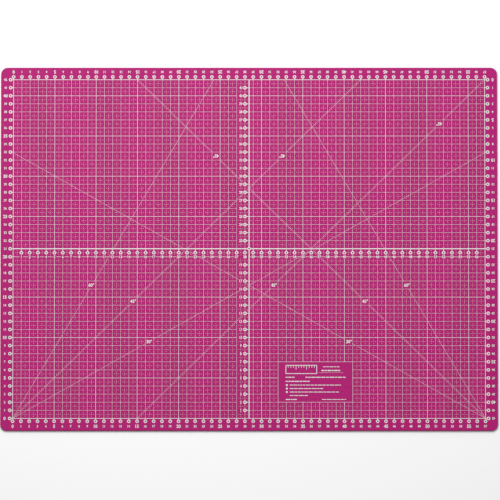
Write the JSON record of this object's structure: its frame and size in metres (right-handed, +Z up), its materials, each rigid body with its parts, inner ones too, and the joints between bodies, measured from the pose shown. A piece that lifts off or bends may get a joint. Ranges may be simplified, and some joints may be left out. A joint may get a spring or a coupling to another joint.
{
  "type": "self-healing cutting mat",
  "caption": "Thin flat laminated cutting mat with rounded corners and a printed centimetre grid, edge scales and angle guide lines.",
  "frame": {"origin": "centre of the underside, on the surface that the mat lies on", "axes": "+X along the long side, towards the right end of the bottom scale; +Y towards the top scale; +Z up out of the printed face"},
  "size_m": [0.6, 0.45, 0.003],
  "materials": {
    "healing_vinyl": "soft magenta vinyl with a fine pebbled matt surface",
    "bonding_film": "thin darker bonding film, seen only as a line along the edge",
    "core_board": "firm core, cut edge a little darker than the faces",
    "printed_ink": "white screen-printing ink, matt, slightly thinned by the pebbled surface"
  },
  "bodies": {
    "root": {"bottom_healing_ply": "healing_vinyl", "lower_bonding_film": "bonding_film", "core_ply": "core_board", "upper_bonding_film": "bonding_film", "top_healing_ply": "healing_vinyl", "border_line": "printed_ink", "quartering_lines": "printed_ink", "five_centimetre_lines": "printed_ink", "panel_frame": "printed_ink", "bottom_scale_rings": "printed_ink", "top_scale_rings": "printed_ink", "left_scale_rings": "printed_ink", "right_scale_rings": "printed_ink", "middle_row_rings": "printed_ink", "middle_column_rings": "printed_ink"}
  },
  "joints": []
}
